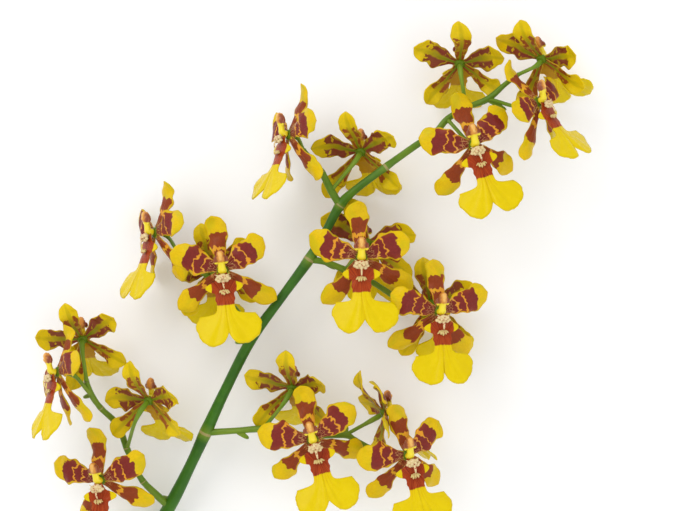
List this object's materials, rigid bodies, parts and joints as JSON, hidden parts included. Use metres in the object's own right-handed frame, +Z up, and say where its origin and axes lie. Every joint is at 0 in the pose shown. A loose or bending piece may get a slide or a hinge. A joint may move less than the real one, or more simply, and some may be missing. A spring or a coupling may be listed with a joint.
{
  "type": "oncidium orchid",
  "caption": "Cut branched spray of an oncidium orchid lying flat, with yellow and brown-barred blooms, broad yellow lips and a green stem",
  "frame": {"origin": "the middle of the box's base, on the surface that the spray lies on", "axes": "+Z up from the surface, +Y towards the flowering end of the stem, +X to the right as the picture shows it"},
  "size_m": [0.1708, 0.1734, 0.0399],
  "materials": {
    "stem_green": "satin",
    "tepal_yellow_brown": "satin",
    "lip_yellow": "satin"
  },
  "bodies": {
    "root": {"main_stem": "stem_green", "branch_1": "stem_green", "branch_2": "stem_green", "branch_3": "stem_green", "branch_4": "stem_green", "branch_5": "stem_green", "bloom_01_tepals": "tepal_yellow_brown", "bloom_02_tepals": "tepal_yellow_brown", "bloom_03_tepals": "tepal_yellow_brown", "bloom_04_tepals": "tepal_yellow_brown", "bloom_05_tepals": "tepal_yellow_brown", "bloom_06_tepals": "tepal_yellow_brown", "bloom_07_tepals": "tepal_yellow_brown", "bloom_08_tepals": "tepal_yellow_brown", "bloom_09_tepals": "tepal_yellow_brown", "bloom_10_tepals": "tepal_yellow_brown", "bloom_11_tepals": "tepal_yellow_brown", "bloom_12_tepals": "tepal_yellow_brown", "bloom_13_tepals": "tepal_yellow_brown", "bloom_14_tepals": "tepal_yellow_brown", "bloom_15_tepals": "tepal_yellow_brown", "bloom_16_tepals": "tepal_yellow_brown", "bloom_17_tepals": "tepal_yellow_brown", "bloom_18_tepals": "tepal_yellow_brown", "bloom_19_tepals": "tepal_yellow_brown", "bloom_20_tepals": "tepal_yellow_brown", "bloom_21_tepals": "tepal_yellow_brown", "bloom_01_lip": "lip_yellow", "bloom_02_lip": "lip_yellow", "bloom_03_lip": "lip_yellow", "bloom_04_lip": "lip_yellow", "bloom_05_lip": "lip_yellow", "bloom_06_lip": "lip_yellow", "bloom_07_lip": "lip_yellow", "bloom_08_lip": "lip_yellow", "bloom_09_lip": "lip_yellow", "bloom_10_lip": "lip_yellow", "bloom_11_lip": "lip_yellow", "bloom_12_lip": "lip_yellow", "bloom_13_lip": "lip_yellow", "bloom_14_lip": "lip_yellow", "bloom_15_lip": "lip_yellow", "bloom_16_lip": "lip_yellow", "bloom_17_lip": "lip_yellow", "bloom_18_lip": "lip_yellow", "bloom_19_lip": "lip_yellow", "bloom_20_lip": "lip_yellow", "bloom_21_lip": "lip_yellow"}
  },
  "joints": []
}
